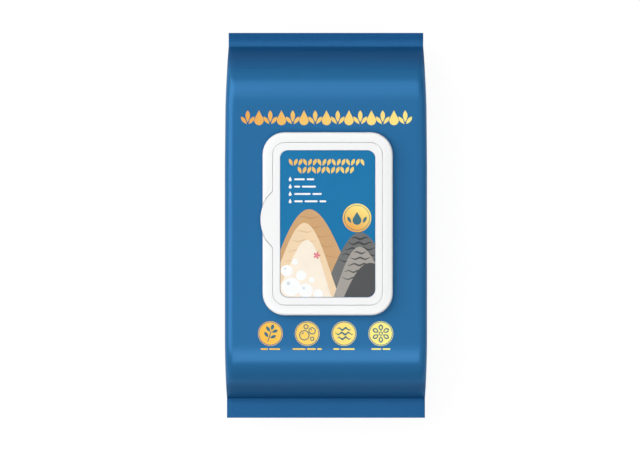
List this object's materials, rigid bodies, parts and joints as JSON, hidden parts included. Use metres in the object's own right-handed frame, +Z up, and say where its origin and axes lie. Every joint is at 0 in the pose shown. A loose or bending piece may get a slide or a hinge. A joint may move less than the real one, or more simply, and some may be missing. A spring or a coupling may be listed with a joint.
{
  "type": "wet wipes pack",
  "caption": "Soft flow-wrapped pack of folded wet glove wipes, lying on its back, with a white hinged flip-top lid over the dispensing hole.",
  "frame": {"origin": "middle of the pack's length and width, on the plane that its back rests on", "axes": "+X to the right across the pack, seen from above with the lid's hinge on the right; +Y along the pack towards its top seal; +Z up through its thickness, out of the lid"},
  "size_m": [0.1188, 0.2266, 0.0515],
  "materials": {
    "blue_film": "satin printed film, blue",
    "damp_cloth": "damp white nonwoven",
    "white_plastic": "smooth white moulding",
    "printed_label": "glossy printed label, blue"
  },
  "bodies": {
    "pack": {"film_pouch": "blue_film", "wipes_stack": "damp_cloth", "top_wipe": "damp_cloth", "lid_base": "white_plastic"},
    "lid": {"lid_cover": "white_plastic", "lid_label": "printed_label"}
  },
  "joints": [
    {"name": "lid_hinge", "type": "hinge", "parent": "pack", "child": "lid", "pos_m": [0.0334, 0.0009, 0.0515], "axis": [0, 1, 0], "range_deg": [0, 150]}
  ]
}
